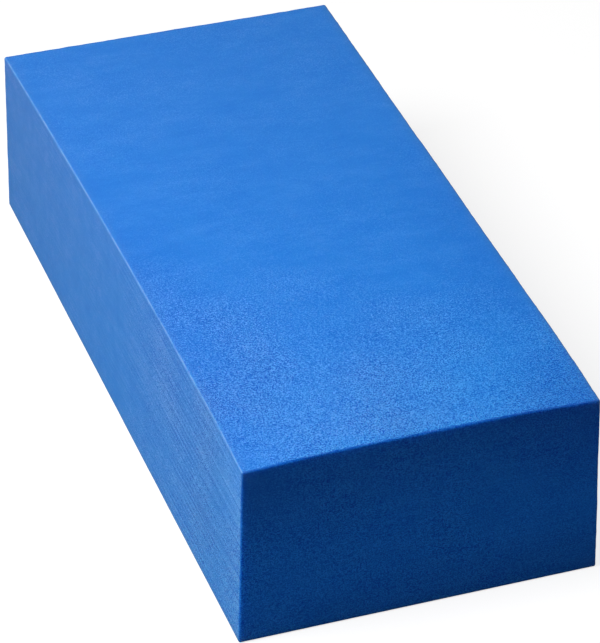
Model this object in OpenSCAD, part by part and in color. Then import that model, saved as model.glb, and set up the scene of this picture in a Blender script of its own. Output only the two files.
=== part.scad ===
// Cleaning sponge: one plain block of fine-celled foam, cut out of a larger slab.
//
// The foam gives way under the knife, so no face is quite true: the ends and sides lean in
// towards the top, one side pulls in halfway, and one end is cut a little high and askew.
// Every edge is soft, and the two corners of the high end have settled.
//
// Millimetres. X runs across the block, Y along it from the high near end to the far end,
// and Z up. The origin is the middle of the flat underside, which the block rests on.

/* [Block] */
// Length of the block along its foot
block_l = 200; // [80:1:400]
// Width of the block across its foot
block_w = 90; // [40:1:200]
// Height of the block halfway along
block_h = 48; // [20:1:120]

/* [Soft edges] */
// Radius of every edge and corner
edge_r = 0.6; // [0.3:0.1:6]

/* [Knife] */
// How much higher the near end stands than the far end
end_rise = 2.4; // [0:0.1:6]
// How far the top of each end leans in over its foot
end_lean = 0.8; // [0:0.1:4]
// How far the near end runs back across the width, out of square
end_skew = 1; // [0:0.1:4]
// How far the top of each long side leans in at the near end, dying out at the far end
side_lean = 1; // [0:0.1:4]
// How far the top of the left side pulls in halfway along
side_bow = 0.9; // [0:0.1:4]

/* [Settled corners] */
// How far the two near top corners have settled
corner_drop = 0.8; // [0:0.1:4]
// How far from each corner the settling is felt
drop_reach = 13; // [4:1:40]

/* [Smoothness] */
// Facets across the width, between the soft edges
steps_w = 16; // [4:1:24]
// Facets along the length, between the soft edges
steps_l = 32; // [8:1:48]
// Facets up the height, between the soft edges
steps_h = 8; // [3:1:12]
// Facets on each half of a soft edge
steps_edge = 2; // [1:1:3]

/* [Hidden] */

// The true block, before it is softened and cut, centred on its own middle
size = [block_w, block_l, block_h];
// Its core: what is left when every face goes in by the edge radius
core = size - 2 * [edge_r, edge_r, edge_r];
steps = [steps_w, steps_l, steps_h];

// Each face of the true block: the direction it faces, and on which side it lies
FACES = [for (facing = [0:2]) for (side = [-1, 1]) [facing, side]];

// Where the grid lines cross one direction: long steps over the core, short ones out to the edge.
// The tangent spaces the short steps evenly once the edge is round.
edge_lines = [for (i = [1:steps_edge]) edge_r * tan(45 * i / steps_edge)];
function lines(k) = concat(
    [for (i = [steps_edge - 1:-1:0]) -core[k] / 2 - edge_lines[i]],
    [for (i = [0:steps[k]]) core[k] * (i / steps[k] - 0.5)],
    [for (e = edge_lines) core[k] / 2 + e]
);
grid = [for (k = [0:2]) lines(k)];

// The nearest point of the core to a point on the true block
function nearest_core(p) = [for (k = [0:2]) max(-core[k] / 2, min(core[k] / 2, p[k]))];

// A point on the true block, drawn in to the soft edge: one edge radius out from the core
function soften(p) =
    let (inner = nearest_core(p), out = p - inner)
    inner + edge_r * out / norm(out);

// How much of a corner's settling is felt at a distance from it
function felt(distance) = exp(-pow(distance / drop_reach, 2));

// A point on the softened block, moved to where the knife and the settling leave it
function cut(p) =
    let (
        near = 0.5 - p.y / block_l,
        right = 0.5 + p.x / block_w,
        left = 1 - right,
        up = 0.5 + p.z / block_h,
        halfway = 4 * near * (1 - near),
        from_end = block_l / 2 + p.y,
        to_left = norm([block_w / 2 + p.x, from_end]),
        to_right = norm([block_w / 2 - p.x, from_end]),
        lean_in = side_lean * near * (left - right) + side_bow * halfway * left,
        top = block_h + end_rise * (near - 0.5) - corner_drop * (felt(to_left) + felt(to_right))
    )
    [
        p.x + up * lean_in,
        p.y + up * end_lean * (2 * near - 1) + end_skew * near * right,
        up * top
    ];

// One face of the block as a grid of finished points, row by row
function sheet(face) =
    let (facing = face[0], across = (facing + 1) % 3, along = (facing + 2) % 3)
    [for (a = grid[across]) for (b = grid[along])
        let (p = [for (k = [0:2]) k == across ? a : k == along ? b : face[1] * size[k] / 2])
        cut(soften(p))
    ];

// The two triangles of each square of a face's grid, whose points start at number `first`.
// They turn the other way on opposite faces, so that all of them look outwards.
function triangles(face, first) =
    let (across = grid[(face[0] + 1) % 3], along = grid[(face[0] + 2) % 3], row = len(along))
    [for (i = [0:len(across) - 2]) for (j = [0:row - 2])
        let (a = first + i * row + j, b = a + 1, c = b + row, d = a + row)
        each face[1] > 0 ? [[a, b, c], [a, c, d]] : [[c, b, a], [d, c, a]]
    ];

// The block all round, as one closed skin
module soft_block() {
    sheets = [for (face = FACES) sheet(face)];
    firsts = [for (f = 0, n = 0; f < len(FACES); n = n + len(sheets[f]), f = f + 1) n];
    polyhedron(
        points = [for (s = sheets) each s],
        faces = [for (f = [0:len(FACES) - 1]) each triangles(FACES[f], firsts[f])],
        convexity = 2
    );
}

// The cutting table under the block, level with its underside
module table() {
    translate([0, 0, -block_h / 2])
        cube([2 * block_w, 2 * block_l, block_h], center = true);
}

// Cut against the table, so that the underside is one plane and not a grid of facets
module sponge_block() {
    color("royalblue")
        difference() {
            soft_block();
            table();
        }
}

sponge_block();
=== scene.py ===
# %% [markdown]
# # A cleaning sponge: one block of blue foam
#
# The real sponge is a plain block, cut with a long knife out of a slab of fine-celled foam.
# Nothing is sewn, glued or printed on it, so the whole object is one piece. What makes it look
# real is small: faces that aren't quite true, edges that are soft, cells that show as a fine
# grain, and the marks that the knife leaves on the upright faces.
#
# The measured model comes first, as a fixed frame. All sizes here are in metres, in its frame:
# X runs across the block, Y along it to the far end, Z up, and the origin is the middle of the
# underside.

# %% Load the frame
import math

import bpy
import numpy as np
from mathutils import Matrix, Vector, noise


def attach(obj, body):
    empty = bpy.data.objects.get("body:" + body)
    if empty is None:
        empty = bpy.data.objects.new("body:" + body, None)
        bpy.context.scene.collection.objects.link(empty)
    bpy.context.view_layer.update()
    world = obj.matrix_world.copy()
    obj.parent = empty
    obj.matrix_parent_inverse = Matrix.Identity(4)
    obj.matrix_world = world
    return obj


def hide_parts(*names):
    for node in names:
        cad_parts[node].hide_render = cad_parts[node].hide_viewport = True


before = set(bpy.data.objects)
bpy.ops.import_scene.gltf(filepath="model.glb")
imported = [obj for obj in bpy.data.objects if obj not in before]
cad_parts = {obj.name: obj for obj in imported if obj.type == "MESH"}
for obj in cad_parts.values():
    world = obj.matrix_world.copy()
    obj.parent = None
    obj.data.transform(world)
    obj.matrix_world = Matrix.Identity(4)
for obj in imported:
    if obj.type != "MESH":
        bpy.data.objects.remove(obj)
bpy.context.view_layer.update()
MM = 0.001

# %% [markdown]
# ## Where the camera stands
#
# A block shows its true proportions only through the right lens. From close by, the near end
# looks far wider than the far end, and a long lens from further off keeps them closer. The two
# go together: the camera stands a metre off, low enough to see one end and one long side, and
# the long lens fills the picture with the block from there.
#
# Blender could aim the camera with a Track To constraint. Its matrix is written out here
# because the camera is also turned a little about its own line of sight, like one held by hand.

# %% Place the camera
VIEW_AROUND = math.radians(-19.148)
VIEW_UP = math.radians(34.149)
VIEW_TURN = math.radians(0.488)
VIEW_DISTANCE = 1.045
VIEW_TARGET = Vector((0.01163, 0.02171, 0.0))
LENS_MM = 225.28


def camera_axes(around, up, turn):
    """The camera's right, its top and its back, as unit vectors."""
    back = Vector((math.sin(around) * math.cos(up), -math.cos(around) * math.cos(up), math.sin(up)))
    right = Vector((0, 0, 1)).cross(back).normalized()
    top = back.cross(right)
    return (right * math.cos(turn) + top * math.sin(turn),
            top * math.cos(turn) - right * math.sin(turn),
            back)


axes = camera_axes(VIEW_AROUND, VIEW_UP, VIEW_TURN)
camera = bpy.data.objects.new("camera", bpy.data.cameras.new("camera"))
bpy.context.collection.objects.link(camera)
camera.data.lens = LENS_MM
camera.matrix_world = (Matrix.Translation(VIEW_TARGET + axes[2] * VIEW_DISTANCE)
                       @ Matrix(axes).transposed().to_4x4())
bpy.context.scene.camera = camera
print("camera at", [round(c, 3) for c in camera.matrix_world.translation])

# %% [markdown]
# ## The true block and what the knife makes of it
#
# A cube with a bevel would give straight edges and dead flat faces, and the eye takes that for
# plastic. Foam gives way under the knife: the block stands a little higher at the near end, its
# ends and sides lean in towards the top, the left side pulls in halfway, and the two near top
# corners have settled. So the block is made as a lattice of points on a true block. Each point
# is drawn in to the soft edge, and then moved by the same rule that shaped the measured model.

# %% Sizes of the block
BLOCK = np.array((90, 200, 48)) * MM
EDGE_RADIUS = 0.6 * MM
CORE = BLOCK - 2 * EDGE_RADIUS
print("core of the block in mm:", np.round(CORE / MM, 2))

# %% [markdown]
# The lattice has lines under a millimetre apart, close enough to carry the small waves in the
# surface, and three short steps round each half of a soft edge. Every point on the skin gets
# one number, so that neighbouring faces share their points and the skin is closed.

# %% The lattice that covers the block
STEPS = (98, 220, 62)
EDGE_STEPS = 3


def lattice_lines(core, steps):
    """Where the lattice lines cross one direction, evenly round the edges once they are soft."""
    out = [core / 2 + EDGE_RADIUS * math.tan(math.radians(45 * i / EDGE_STEPS))
           for i in range(1, EDGE_STEPS + 1)]
    across = np.linspace(-core / 2, core / 2, steps + 1)
    return np.concatenate(([-x for x in reversed(out)], across, out))


lattice_axes = [lattice_lines(CORE[k], STEPS[k]) for k in range(3)]
lattice = np.stack(np.meshgrid(*lattice_axes, indexing="ij"), axis=-1)
inside = np.zeros(lattice.shape[:3], dtype=bool)
inside[1:-1, 1:-1, 1:-1] = True
number = np.full(inside.shape, -1)
number[~inside] = np.arange(np.count_nonzero(~inside))
true_points = lattice[~inside]
print(len(true_points), "points on the skin")

# %% [markdown]
# Each face of the block is one sheet of the lattice, and its squares turn the same way round, so
# that all of them look outwards.

# %% The squares between the points


def sheet_squares(sheet, outward):
    """The four corner numbers of every square in one sheet of the lattice."""
    corners = (sheet[:-1, :-1], sheet[1:, :-1], sheet[1:, 1:], sheet[:-1, 1:])
    return np.stack(corners, axis=-1).reshape(-1, 4)[:, ::1 if outward else -1]


squares = np.concatenate([
    sheet_squares(number[0], False), sheet_squares(number[-1], True),
    sheet_squares(number[:, 0], True), sheet_squares(number[:, -1], False),
    sheet_squares(number[:, :, 0], False), sheet_squares(number[:, :, -1], True)])
print(len(squares), "squares,", 2 * len(squares), "triangles")

# %% [markdown]
# Drawing a point in to the soft edge takes the nearest point of the block's core, and goes out
# from there by one edge radius. On a face this changes nothing, and round an edge or a corner it
# gives a true round. A Bevel modifier would round the edges as well, but it wouldn't say how far
# each point is round one. That share is kept here, because foam frays there, and the finish
# paints the round pale: partly wear, partly a painted highlight.

# %% Soft edges
core_points = np.clip(true_points, -CORE / 2, CORE / 2)
outward = true_points - core_points
outward /= np.linalg.norm(outward, axis=1, keepdims=True)
soft_points = core_points + EDGE_RADIUS * outward
HALFWAY_ROUND = math.sqrt(0.5)
edge_share = np.clip((1 - np.abs(outward).max(axis=1)) / (1 - HALFWAY_ROUND), 0, 1)
print("points round the edges:", int((edge_share > 0).sum()))

# %% [markdown]
# Beside each long edge runs a duller, greyer fringe, about a millimetre wide. How near each point
# is to a long edge is kept for it. The share falls away as a stain does, fast at first and then
# slowly, so that the fringe has no border of its own.

# %% How near each point is to a long edge
FRINGE = 1.2 * MM
to_long_edge = (BLOCK / 2 - np.abs(true_points))[:, [0, 2]].max(axis=1)
fringe_share = np.exp(-to_long_edge / FRINGE)
print("points in the fringe:", int((to_long_edge < FRINGE).sum()))

# %% [markdown]
# The knife's rule works on the whole block at once. `near` is 1 at the near end and 0 at the far
# end, `right`, `left` and `up` go the same way, and each fault is one of the sizes below times
# how much of it is felt at the point.

# %% Cut out of true
END_RISE = 2.4 * MM
END_LEAN = 0.8 * MM
END_SKEW = 1.0 * MM
SIDE_LEAN = 1.0 * MM
SIDE_BOW = 0.9 * MM
CORNER_DROP = 0.8 * MM
DROP_REACH = 13 * MM


def felt(distance):
    """How much of a corner's settling is felt at a distance from it."""
    return np.exp(-(distance / DROP_REACH) ** 2)


def cut_block(points):
    """Points of the softened block, moved to where the knife and the settling leave them."""
    x, y, z = points.T
    near = 0.5 - y / BLOCK[1]
    right = 0.5 + x / BLOCK[0]
    left = 1 - right
    up = 0.5 + z / BLOCK[2]
    halfway = 4 * near * (1 - near)
    from_end = BLOCK[1] / 2 + y
    settled = (felt(np.hypot(BLOCK[0] / 2 + x, from_end))
               + felt(np.hypot(BLOCK[0] / 2 - x, from_end)))
    lean_in = SIDE_LEAN * near * (left - right) + SIDE_BOW * halfway * left
    top = BLOCK[2] + END_RISE * (near - 0.5) - CORNER_DROP * settled
    return np.column_stack((x + up * lean_in,
                            y + up * END_LEAN * (2 * near - 1) + END_SKEW * near * right,
                            up * top))


cut_points = cut_block(soft_points)
print("cut block in mm: from", np.round(cut_points.min(axis=0) / MM, 2),
      "to", np.round(cut_points.max(axis=0) / MM, 2))

# %% [markdown]
# ## The small relief of the foam
#
# The foam springs back unevenly after the cut. Low swells run over every face, the knife leaves
# fine level ribs on the upright faces, and the edges fray where rows of cells are torn open.
# A Displace modifier could add waves, but only one kind at a time. Here each kind has its own
# length and height, so it is worked out for each point and added along the outward direction.
# A seed for each kind keeps them apart, and the same on every run. The relief fades out towards
# the foot, and the underside stays flat, because the block rests on it.

# %% Swells, knife ribs and frayed edges
SWELL = dict(length=16 * MM, height=0.10 * MM, seed=1)
LUMP = dict(length=2.6 * MM, height=0.035 * MM, seed=2)
RIB = dict(length=2.2 * MM, height=0.035 * MM, seed=3, run=45 * MM)
FRAY = dict(length=1.7 * MM, height=0.14 * MM, seed=4)
SEED_SHIFT = (7.3, 3.1, 5.7)
FOOT_FADE = 2 * EDGE_RADIUS


def waves(points, kind):
    """Smooth chance waves of one kind, longer along X and Y where the kind has a run."""
    run = kind.get("run", kind["length"])
    shift = Vector([kind["seed"] * step for step in SEED_SHIFT])
    scaled = points / np.array((run, run, kind["length"]))
    return kind["height"] * np.array([noise.noise(Vector(p) + shift) for p in scaled.tolist()])


upright = 1 - np.abs(outward[:, 2])
relief = waves(cut_points, SWELL) + waves(cut_points, LUMP)
relief += upright * waves(cut_points, RIB)
relief += edge_share * waves(cut_points, FRAY)
above_foot = np.clip(cut_points[:, 2] / FOOT_FADE, 0, 1)
foam_points = cut_points + outward * (relief * above_foot)[:, None]
foam_points[:, 2] = np.maximum(foam_points[:, 2], 0)
print("relief in mm: from", round(relief.min() / MM, 3), "to", round(relief.max() / MM, 3))

# %% [markdown]
# ## The block as one mesh
#
# The points and squares become one closed mesh, shaded smooth. The two shares that were kept go
# along as attributes named `edge` and `fringe`, and the foam's finish reads them both. Vertex
# groups could carry them too, but a material can't read those.

# %% Make the foam block


def foam_mesh(name, points, faces, shares):
    """One smooth mesh, with a named share at each of its points."""
    mesh = bpy.data.meshes.new(name)
    mesh.from_pydata(points.tolist(), [], faces.tolist())
    mesh.polygons.foreach_set("use_smooth", [True] * len(mesh.polygons))
    for share, values in shares.items():
        mesh.attributes.new(share, "FLOAT", "POINT").data.foreach_set("value", values)
    mesh.validate()
    return mesh


shares = {"edge": edge_share, "fringe": fringe_share}
block_mesh = foam_mesh("foam_block", foam_points, squares, shares)
block = bpy.data.objects.new("foam_block", block_mesh)
bpy.context.collection.objects.link(block)
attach(block, "root")
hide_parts("sponge_block")
print("foam_block:", len(block_mesh.vertices), "points,", len(block_mesh.polygons), "faces")

# %% [markdown]
# ## The foam's finish
#
# Close to, this foam is a mass of open cells, a third of a millimetre across. Light falls into
# the cells and stays there, so they show as dark pits between paler walls, and there is hardly
# any gloss. An image would repeat, or smear round the edges. This finish is made of nodes that
# read the place in the block itself, so every face shows a cut through the same foam.
#
# Written out in full, each node takes three or four lines. So one helper makes any node, and the
# sums that come again and again get short names.

# %% A short way to write nodes
foam = bpy.data.materials.new("blue_foam")
foam.use_nodes = True
nodes = foam.node_tree.nodes
links = foam.node_tree.links
nodes.clear()


def put(socket, value):
    """Set a socket to a value, or link it to another node's output."""
    if isinstance(value, bpy.types.NodeSocket):
        links.new(value, socket)
    else:
        socket.default_value = value


def node(kind, inputs=None, **settings):
    """One node with its settings, and each named or numbered input set or linked."""
    made = nodes.new(kind)
    for key, value in settings.items():
        setattr(made, key, value)
    for key, value in (inputs or {}).items():
        put(made.inputs[key], value)
    return made


def worked(operation, first, second=0.0):
    """What one Math node makes of two values."""
    return node("ShaderNodeMath", {0: first, 1: second}, operation=operation).outputs[0]


def added(first, second):
    return worked("ADD", first, second)


def times(first, second):
    return worked("MULTIPLY", first, second)


def larger(first, second):
    return worked("MAXIMUM", first, second)


def blended(share, first, second):
    """The first value where the share is 0, the second where it is 1."""
    return node("ShaderNodeMix", {0: share, 2: first, 3: second}).outputs[0]


def spread(value, low, high, to_low=0.0, to_high=1.0):
    """A value stretched from one span to another, and held inside it."""
    return node("ShaderNodeMapRange", {"Value": value, "From Min": low, "From Max": high,
                                       "To Min": to_low, "To Max": to_high}).outputs[0]


print("helpers ready for", foam.name)

# %% [markdown]
# Everything in the finish depends on where a point lies in the block, and some of it on which way
# the surface looks there. Both come from a Texture Coordinate node, as places and directions in
# the block's own frame, so that the finish moves with the block.

# %% Places and directions in the block
coordinates = node("ShaderNodeTexCoord")
place = coordinates.outputs["Object"]
across, along, high = node("ShaderNodeSeparateXYZ", {0: place}).outputs
looks = node("ShaderNodeSeparateXYZ", {0: coordinates.outputs["Normal"]}).outputs
FACING = (0.3, 0.8)
END_FACING = (0.05, 0.4)


def facing(axis, span=FACING):
    """1 where the surface looks along an axis, either way, 0 where it doesn't, smooth between."""
    return spread(worked("ABSOLUTE", looks[axis]), *span)


def towards(direction):
    """How far a place lies in one direction."""
    product = node("ShaderNodeVectorMath", {0: place, 1: direction}, operation="DOT_PRODUCT")
    return product.outputs["Value"]


def distance_to(corner):
    """How far a place lies from one point of the block."""
    apart = node("ShaderNodeVectorMath", {0: place, 1: corner}, operation="DISTANCE")
    return apart.outputs["Value"]


on_side = facing("X")
on_right = spread(looks["X"], *FACING)
on_end = facing("Y", END_FACING)
on_top = facing("Z")
print("the sides, the ends and the top can be told apart, in", len(nodes), "nodes")

# %% [markdown]
# The cells come from a Voronoi texture: its distance is smallest in the middle of each cell and
# largest at the walls between cells. Crumbs of foam break the cells up, because a cut opens each
# of them at another depth. They are a noise of about the same size, drawn out a little across
# the block, as a blade leaves them. Both swing about zero, so that they come out below it in a
# pit and above it on a wall.

# %% Cells and crumbs
CELL = 0.30 * MM
CRUMB = 0.30 * MM
CRUMB_RUN = 0.46 * MM
CELL_SWING = 0.45
CELL_SPAN = (0.1, 0.9)
CRUMB_SWING = 0.62
CRUMB_SPAN = (0.25, 0.75)
CRUMB_ROUGH = 0.6
COMMON_SPAN = (0.3, 0.7)


def grain(where, length, detail=2.0, rough=0.5):
    """Chance grain between 0 and 1, whose lumps are about one length across."""
    return node("ShaderNodeTexNoise", {"Vector": where, "Scale": 1 / length, "Detail": detail,
                                       "Roughness": rough}).outputs["Fac"]


def swing(value, by, span=COMMON_SPAN):
    """A grain whose common span is stretched to run from -by to by."""
    return spread(value, *span, -by, by)


cells = node("ShaderNodeTexVoronoi", {"Vector": place, "Scale": 1 / CELL, "Randomness": 1.0},
             feature="F1").outputs["Distance"]
crumb_place = node("ShaderNodeMapping", {"Vector": place,
                                         "Scale": (1 / CRUMB_RUN, 1 / CRUMB, 1 / CRUMB)})
crumbs = grain(crumb_place.outputs[0], 1.0, rough=CRUMB_ROUGH)
cut_grain = added(swing(cells, CELL_SWING, CELL_SPAN), swing(crumbs, CRUMB_SWING, CRUMB_SPAN))
print("cells of", CELL / MM, "mm, crumbs of", CRUMB / MM, "mm")

# %% [markdown]
# The knife drags the foam level as it goes, so the upright faces carry long fine streaks. Their
# noise is stretched along X and Y and close set along Z, which leaves the top face alone because
# the height hardly changes there.

# %% Streaks of the knife
STREAK_RUN = 30 * MM
STREAK_WIDTH = 0.42 * MM
STREAK = 0.24
stretch = node("ShaderNodeMapping", {"Vector": place,
                                     "Scale": (1 / STREAK_RUN, 1 / STREAK_RUN, 1 / STREAK_WIDTH)})
streaks = swing(grain(stretch.outputs[0], 1.0, detail=0.5), STREAK)
print("streaks of", STREAK_WIDTH / MM, "mm")

# %% [markdown]
# A long knife is drawn to and fro, and each stroke leaves one fine line. So the lines keep an
# even gap, which noise alone never does: a Wave texture draws them, and a little distortion makes
# them waver. At a scale of 1 the texture goes through twenty radians in each metre, so its scale
# is worked out from the gap. The lines have held only in patches, and elsewhere the foam has
# sprung back. The left side carries streaks and lines in full, the right side at half strength,
# and the ends only faintly.

# %% Lines of the knife's strokes
LINE_GAP = 1.7 * MM
LINE = 0.18
LINE_PATCH = 18 * MM
HELD_SPAN = (0.4, 0.6)
WAVE_RADIANS = 20
WAVER = 1.4
END_STREAKS = 0.4
RIGHT_STREAKS = 0.5
wave_scale = math.tau / (WAVE_RADIANS * LINE_GAP)
strokes = node("ShaderNodeTexWave", {"Vector": place, "Scale": wave_scale, "Distortion": WAVER,
                                     "Detail": 1.0, "Detail Scale": 0.35},
               bands_direction="Z").outputs["Fac"]
held = spread(grain(place, LINE_PATCH, detail=0.0), *HELD_SPAN)
lines = times(swing(strokes, LINE, (0.0, 1.0)), held)
streaked = added(times(on_side, blended(on_right, 1.0, RIGHT_STREAKS)),
                 times(facing("Y"), END_STREAKS))
streak_grain = times(added(streaks, lines), streaked)
print("a line every", LINE_GAP / MM, "mm")

# %% [markdown]
# The cells aren't as open everywhere. At the near end they are fresh from the knife, and towards
# the far end the top and the left side are rubbed shut. The right side and the far end are hardly
# touched, so they stay open. Over the whole block the cells also come and go in soft patches.

# %% Open and rubbed shut
OPEN_NEAR = 1.28
OPEN_FAR = 0.12
OPEN_FRESH = 0.80
OPEN_SPAN = (-95 * MM, -24 * MM)
OPEN_WAY = (0.45, 1.0, 0.0)
PATCH = 22 * MM
PATCH_SPAN = (0.35, 0.65)
PATCH_OPEN = (0.6, 1.2)
rubbed_shut = spread(towards(OPEN_WAY), *OPEN_SPAN, OPEN_NEAR, OPEN_FAR)
untouched = larger(on_right, spread(looks["Y"], *FACING))
patches = spread(grain(place, PATCH, detail=1.0), *PATCH_SPAN, *PATCH_OPEN)
kept_open = times(blended(untouched, rubbed_shut, OPEN_FRESH), patches)
print("from the near end to the far end the cells are", OPEN_NEAR, "to", OPEN_FAR, "open")

# %% [markdown]
# Two more things close the cells. The ends are cut square across, and the knife has pressed them
# flatter than the rest. The settled corner on the left has been squeezed, and it is nearly
# smooth. Both are factors on how open the cells are.

# %% Flat ends and a squeezed corner
END_OPEN = 0.52
SHUT_CORNER = Vector((-43, -98, 48)) * MM
SHUT_SPAN = (3 * MM, 24 * MM)
SHUT_OPEN = 0.35
squeezed = spread(distance_to(SHUT_CORNER), *SHUT_SPAN, SHUT_OPEN, 1.0)
openness = times(kept_open, times(blended(on_end, 1.0, END_OPEN), squeezed))
print("the ends are", END_OPEN, "as open, and the corner", SHUT_OPEN)

# %% [markdown]
# Cells and streaks now add up to one height: below zero in a pit, above it on a wall. The same
# height will set the colour and the bump, because in real foam they are one thing. On the sides
# the streaks have smeared the cells a little, so the cells count for less there.

# %% Height of the grain
CELL_CONTRAST = 1.45
SIDE_CONTRAST = 1.13
STREAK_CONTRAST = 0.80
smeared = times(cut_grain, blended(on_side, CELL_CONTRAST, SIDE_CONTRAST))
height = times(added(smeared, times(streak_grain, STREAK_CONTRAST)), openness)
print("the grain is made of cells and streaks")

# %% [markdown]
# The colour isn't only pits and walls. Faint wisps, a few millimetres long, run across the block,
# and the near end is painted a shade paler, as painted light: there the walls stand up and more
# of them catch the light. Where the cells are open the colour is a little paler too. These are
# small shifts of the height, made before it is turned into colour.

# %% Wisps, and painted light at the near end
WISP = 5 * MM
WISP_TONE = 0.05
WISP_STRETCH = (0.5, 1.0, 1.0)
WISP_DETAIL = 4.0
WISP_ROUGH = 0.65
OPEN_TONE = 0.03
NEAR_PAINTED_LIGHT = 0.09
NEAR_LIGHT_SPAN = (-95 * MM, -55 * MM)
wisp_place = node("ShaderNodeMapping", {"Vector": place, "Scale": WISP_STRETCH}).outputs[0]
wisps = swing(grain(wisp_place, WISP, WISP_DETAIL, WISP_ROUGH), WISP_TONE)
# Painted light: the near end is painted paler, and open cells a little paler too.
near_light_and_open_tone = added(spread(along, *NEAR_LIGHT_SPAN, NEAR_PAINTED_LIGHT, 0.0), times(openness, OPEN_TONE))
shade = added(added(height, added(wisps, near_light_and_open_tone)), 0.5)
print("wisps of", WISP / MM, "mm")

# %% [markdown]
# A Color Ramp turns the shade into blue: deep in the pits, paler on the walls. Two colours would
# give a greyish middle, so the plain face of the foam is a third one between them. The numbers
# are plain light, not the scale of a screen.

# %% Three blues
PIT_BLUE = (0.000, 0.088, 0.640, 1)
FOAM_BLUE = (0.020, 0.223, 0.780, 1)
WALL_BLUE = (0.121, 0.400, 1.000, 1)
ramp = node("ShaderNodeValToRGB", {"Fac": shade})
stops = ramp.color_ramp.elements
stops[0].color = PIT_BLUE
stops[1].color = WALL_BLUE
stops.new(0.5).color = FOAM_BLUE
foam_colour = ramp.outputs["Color"]
print("blues from", PIT_BLUE[:3], "to", WALL_BLUE[:3])

# %% [markdown]
# Each of these is a tint: a colour that is multiplied into the foam's own, as far as its share
# says. Most of them are painted light: the sheen, highlights and shade that each face takes in
# its own way are painted into its colour. Tints keep the grain as it is, which painting a new
# colour over it would not.
#
# The left side has a painted sheen: a warmer, redder bloom painted into its colour, which grows
# towards the far end and up towards its ridge. The right side is painted a deeper blue, as
# painted shade. Both have a painted highlight beside the near upright edges. The ends are painted
# as shaded faces, with most of their red taken out, and are darkest along their top and their
# foot, which is painted shade too.

# %% Tints of the sides and ends
# Painted sheen on the left side, redder towards the far end and up to its ridge.
SIDE_SHEEN_NEAR = (0.86, 1.045, 1.02, 1)
SIDE_SHEEN_FAR = (1.31, 1.065, 1.015, 1)
SIDE_SHEEN_SPAN = (-90 * MM, 60 * MM)
RIDGE_SHEEN_TINT = (1.20, 0.965, 0.97, 1)
RIDGE_SPAN = (8 * MM, 44 * MM)
# Painted shade: the right side is painted a deeper blue.
RIGHT_SHADE_TINT = (0.35, 0.86, 1.00, 1)
# Painted highlight beside the near upright edges of both sides.
UPRIGHT_HIGHLIGHT = (1.30, 1.11, 1.09, 1)
UPRIGHT_SPAN = (-97 * MM, -82 * MM)
# Painted shade on the ends: darker, with most of their red taken out.
END_SHADE_TINT = (0.17, 0.72, 0.98, 1)
# Painted shade on the ends, darkest along their top and foot, lightest at mid height.
END_TOP_AND_FOOT_SHADE = (1.00, 0.80, 0.82, 1)
SHADE_BAND_WAY = (-0.1, 0.0, 1.0)
END_UNSHADED_HEIGHT = 21 * MM
SHADE_BAND_SPAN = (6 * MM, 24 * MM)


def mixed(share, first, second, blend="MIX"):
    """The first colour where the share is 0, and where it is 1 what the second makes of it."""
    mix = node("ShaderNodeMix", data_type="RGBA", blend_type=blend)
    put(mix.inputs[0], share)
    put(mix.inputs[6], first)
    put(mix.inputs[7], second)
    return mix.outputs[2]


def tinted(colour, share, by):
    """A colour with a tint multiplied into it, as far as the share says."""
    return mixed(share, colour, by, "MULTIPLY")


# The left side's painted sheen.
left_painted_sheen = mixed(spread(along, *SIDE_SHEEN_SPAN), SIDE_SHEEN_NEAR, SIDE_SHEEN_FAR)
left_painted_sheen = tinted(left_painted_sheen, spread(high, *RIDGE_SPAN), RIDGE_SHEEN_TINT)
# The right side gets painted shade in place of the left side's painted sheen.
side_sheen_and_shade = mixed(on_right, left_painted_sheen, RIGHT_SHADE_TINT)
near_upright_highlight = times(spread(along, *UPRIGHT_SPAN, 1.0, 0.0), on_side)
from_middle = worked("ABSOLUTE", added(towards(SHADE_BAND_WAY), -END_UNSHADED_HEIGHT))
# The ends are painted as shaded faces.
foam_colour = tinted(foam_colour, on_end, END_SHADE_TINT)
foam_colour = tinted(foam_colour, on_side, side_sheen_and_shade)
# A painted highlight beside the near upright edges.
foam_colour = tinted(foam_colour, near_upright_highlight, UPRIGHT_HIGHLIGHT)
# Painted shade along the top and the foot of the ends.
foam_colour = tinted(foam_colour, times(spread(from_middle, *SHADE_BAND_SPAN), on_end), END_TOP_AND_FOOT_SHADE)
print("the sides and ends have their own tints")

# %% [markdown]
# On the top, the near half is a little darker in a band along both long edges. The near rim and
# the right corner have less red painted into them, as the sheen's haze is weaker there, so their
# blue is purer, and right at that corner there is painted shade as well. The far left has the
# most painted sheen, a redder haze.

# %% Tints of the top
BAND_TINT = (0.90, 0.915, 0.955, 1)
BAND_ACROSS = (24 * MM, 40 * MM)
BAND_ALONG = (-10 * MM, 40 * MM)
# Painted sheen: less red at the near rim and the right corner, where the haze is weaker.
LESS_SHEEN_TINT = (0.52, 1.00, 1.00, 1)
NEAR_RIGHT_CORNER = Vector((45, -100, 48)) * MM
LESS_SHEEN_SPAN = (10 * MM, 60 * MM)
RIM_ALONG = (-99 * MM, -93 * MM)
RIM_ACROSS = (-45 * MM, 10 * MM)
# Painted shade at the near right corner of the top.
CORNER_SHADE_TINT = (0.90, 0.80, 0.90, 1)
CORNER_SPAN = (6 * MM, 30 * MM)
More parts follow.
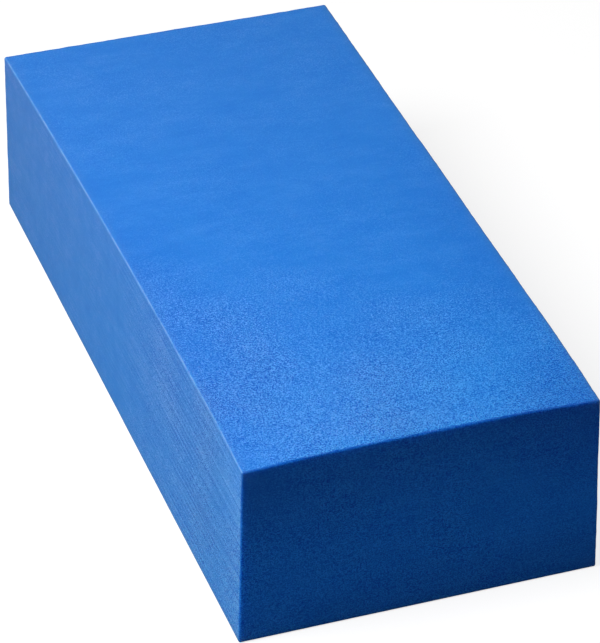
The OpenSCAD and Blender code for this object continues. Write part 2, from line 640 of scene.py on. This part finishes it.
# Painted sheen: a redder haze growing towards the far left.
FAR_SHEEN_TINT = (1.66, 1.02, 0.985, 1)
FAR_SHEEN_WAY = (-0.5, 0.8, 0.0)
FAR_SHEEN_SPAN = (-50 * MM, 90 * MM)
band = times(spread(worked("ABSOLUTE", across), *BAND_ACROSS), spread(along, *BAND_ALONG, 1.0, 0.0))
rim = times(spread(along, *RIM_ALONG, 1.0, 0.0), spread(across, *RIM_ACROSS))
to_near_right_corner = distance_to(NEAR_RIGHT_CORNER)
less_sheen = times(larger(spread(to_near_right_corner, *LESS_SHEEN_SPAN, 1.0, 0.0), rim), blended(on_end, 1.0, 0.0))
foam_colour = tinted(foam_colour, times(band, on_top), BAND_TINT)
# Less painted sheen at the near rim and the right corner.
foam_colour = tinted(foam_colour, less_sheen, LESS_SHEEN_TINT)
# Painted shade at the near right corner.
foam_colour = tinted(foam_colour, spread(to_near_right_corner, *CORNER_SPAN, 1.0, 0.0), CORNER_SHADE_TINT)
# Painted sheen towards the far left.
foam_colour = tinted(foam_colour, spread(towards(FAR_SHEEN_WAY), *FAR_SHEEN_SPAN), FAR_SHEEN_TINT)
print("the top has its own tints, and the foam", len(nodes), "nodes so far")

# %% [markdown]
# Last come the long edges, and here colour is laid over the grain. The fringe is a dull blue that
# covers more than half of the foam's own. The round of the edge itself is painted pale, in short
# patches: partly wear, and partly a painted highlight. The edges of the ends are left as they
# were cut.

# %% Fringe, and rubbed edges with a painted highlight
FRINGE_BLUE = (0.060, 0.215, 0.600, 1)
FRINGE_COVER = 0.6
# Partly wear, partly a painted highlight on the round of the long edges.
RUB_AND_HIGHLIGHT_BLUE = (0.215, 0.400, 0.740, 1)
RUB_PATCH = 3 * MM
RUB_SPAN = (0.3, 0.6)
RUB_COVER = (0.4, 1.0)
RUB_FALL = 1.6
CUT_EDGE_FACING = (0.1, 0.7)
fringe = node("ShaderNodeAttribute", attribute_name="fringe").outputs["Fac"]
edge = node("ShaderNodeAttribute", attribute_name="edge").outputs["Fac"]
rub_patches = spread(grain(place, RUB_PATCH), *RUB_SPAN, *RUB_COVER)
off_ends = blended(facing("Y", CUT_EDGE_FACING), 1.0, 0.0)
# Wear and a painted highlight on the round of the long edges.
rubbed_and_highlight = times(times(worked("POWER", edge, RUB_FALL), rub_patches), off_ends)
foam_colour = mixed(times(fringe, FRINGE_COVER), foam_colour, FRINGE_BLUE)
foam_colour = mixed(rubbed_and_highlight, foam_colour, RUB_AND_HIGHLIGHT_BLUE)
print("rubbed patches of", RUB_PATCH / MM, "mm")

# %% [markdown]
# The height of the grain also tilts the surface, through a Bump node. Cells of this size would
# need millions of faces as a mesh, and from a hand's breadth away nobody can tell the two apart.
# The node's distance is the real depth in metres.

# %% Depth of the grain
GRAIN_DEPTH = 0.08 * MM
GRAIN_TILT = 0.8
bump = node("ShaderNodeBump", {"Strength": GRAIN_TILT, "Distance": GRAIN_DEPTH, "Height": height})
print("the grain is", GRAIN_DEPTH / MM, "mm deep")

# %% [markdown]
# One Principled shader holds it all. The foam has no shine, so it has no specular light, and its
# walls are only a little smoother than its pits. Light goes a few millimetres in, blue further
# than red: that is the subsurface part. The thin walls catch light that grazes them, which
# leaves a faint milky bloom on the side: that is the sheen.

# %% The foam's shader
SHADE_SPAN = (0.2, 0.8)
PIT_ROUGH = 0.98
WALL_ROUGH = 0.82
BLOOM = 0.08
SUNK_SHARE = 0.5
SINK_DEPTH = 2.5 * MM
SINK_BY_COLOUR = (0.1, 0.7, 1.0)
shader = node("ShaderNodeBsdfPrincipled", {
    "Base Color": foam_colour,
    "Roughness": spread(shade, *SHADE_SPAN, PIT_ROUGH, WALL_ROUGH),
    "Normal": bump.outputs[0],
    "Specular IOR Level": 0.0,
    "Sheen Weight": BLOOM,
    "Sheen Roughness": 0.5,
    "Sheen Tint": (1, 1, 1, 1),
    "Subsurface Weight": SUNK_SHARE,
    "Subsurface Radius": SINK_BY_COLOUR,
    "Subsurface Scale": SINK_DEPTH,
})
node("ShaderNodeOutputMaterial", {"Surface": shader.outputs[0]})
block_mesh.materials.append(foam)
print("blue_foam has", len(nodes), "nodes")

# %% [markdown]
# ## Floor, sky and lamp
#
# The block stands on a plain pale floor. To the camera the floor is white with a soft shadow:
# part of its white is its own glow, so the shadow stays light. The block itself sees a greyer
# floor, which keeps its shaded end deep, as it is when a block stands in a dim room beside one
# broad lamp. A brighter lamp could whiten the floor too, but it would bleach the block first.
#
# A Light Path node tells the two apart: it knows whether a ray comes from the camera, or from
# the block by way of its surface.

# %% What the camera sees directly


def seen_directly(tree):
    """1 for rays from the camera, and for those in a mirror or through glass."""
    path = tree.nodes.new("ShaderNodeLightPath")
    result = path.outputs["Is Camera Ray"]
    for other in ("Is Glossy Ray", "Is Transmission Ray"):
        either = tree.nodes.new("ShaderNodeMath")
        either.operation = "MAXIMUM"
        tree.links.new(result, either.inputs[0])
        tree.links.new(path.outputs[other], either.inputs[1])
        result = either.outputs[0]
    return result


# %% Pale floor
FLOOR_SIZE = 8.0
FLOOR_DROP = 0.05 * MM
FLOOR_GLOW = 0.80
FLOOR_WHITE = 0.34
FLOOR_GREY = 0.26

half = FLOOR_SIZE / 2
floor_corners = [(-half, -half, 0), (half, -half, 0), (half, half, 0), (-half, half, 0)]
floor_mesh = bpy.data.meshes.new("floor")
floor_mesh.from_pydata(floor_corners, [], [(0, 1, 2, 3)])
floor = bpy.data.objects.new("floor", floor_mesh)
floor.location.z = -FLOOR_DROP
bpy.context.collection.objects.link(floor)

paper = bpy.data.materials.new("pale_floor")
paper.use_nodes = True
tree = paper.node_tree
tree.nodes.clear()
glow = tree.nodes.new("ShaderNodeEmission")
glow.inputs["Strength"].default_value = FLOOR_GLOW
white = tree.nodes.new("ShaderNodeBsdfDiffuse")
white.inputs["Color"].default_value = (FLOOR_WHITE, FLOOR_WHITE, FLOOR_WHITE, 1)
grey = tree.nodes.new("ShaderNodeBsdfDiffuse")
grey.inputs["Color"].default_value = (FLOOR_GREY, FLOOR_GREY, FLOOR_GREY, 1)
glowing_white = tree.nodes.new("ShaderNodeAddShader")
choice = tree.nodes.new("ShaderNodeMixShader")
end = tree.nodes.new("ShaderNodeOutputMaterial")
tree.links.new(glow.outputs[0], glowing_white.inputs[0])
tree.links.new(white.outputs[0], glowing_white.inputs[1])
tree.links.new(seen_directly(tree), choice.inputs[0])
tree.links.new(grey.outputs[0], choice.inputs[1])
tree.links.new(glowing_white.outputs[0], choice.inputs[2])
tree.links.new(choice.outputs[0], end.inputs[0])
floor_mesh.materials.append(paper)
print("floor of", FLOOR_SIZE, "m")

# %% [markdown]
# The sky is done the same way. The camera sees it white, at a strength of 1, and the block gets
# only a little light from it.

# %% Plain sky
SKY_FILL = 0.12
world = bpy.data.worlds.new("plain_sky")
world.use_nodes = True
bpy.context.scene.world = world
tree = world.node_tree
tree.nodes.clear()
sky = tree.nodes.new("ShaderNodeBackground")
sky.inputs["Color"].default_value = (1, 1, 1, 1)
strength = tree.nodes.new("ShaderNodeMapRange")
strength.inputs["To Min"].default_value = SKY_FILL
strength.inputs["To Max"].default_value = 1.0
end = tree.nodes.new("ShaderNodeOutputWorld")
tree.links.new(seen_directly(tree), strength.inputs["Value"])
tree.links.new(strength.outputs[0], sky.inputs["Strength"])
tree.links.new(sky.outputs[0], end.inputs[0])
print("sky strength", SKY_FILL, "on the block")

# %% [markdown]
# One broad lamp stands high on the left. It lights the top fully, grazes the left side, and
# leaves the near end in shade. A white card low on the right throws a little light back, so that
# the far sides of the block can be read from behind. A weak lamp stands in for the card.

# %% One broad lamp and a white card
LAMP_AIM = Vector((0, 0, 0.02))
LAMP_PLACE = Vector((-0.350, -0.070, 0.525))
LAMP_SIZE = 0.30
LAMP_WATTS = 3.70
CARD_PLACE = Vector((0.70, 0.10, 0.12))
CARD_SIZE = 0.40
CARD_WATTS = 0.35


def area_lamp(name, position, size, watts):
    """A square lamp, turned to the middle of the block."""
    lamp = bpy.data.objects.new(name, bpy.data.lights.new(name, "AREA"))
    lamp.data.size = size
    lamp.data.energy = watts
    lamp.location = position
    lamp.rotation_euler = (position - LAMP_AIM).to_track_quat("Z", "Y").to_euler()
    bpy.context.collection.objects.link(lamp)


area_lamp("broad_lamp", LAMP_PLACE, LAMP_SIZE, LAMP_WATTS)
area_lamp("white_card", CARD_PLACE, CARD_SIZE, CARD_WATTS)
bpy.context.scene.view_settings.view_transform = "Standard"
print("lamp of", LAMP_WATTS, "W and card of", CARD_WATTS, "W")
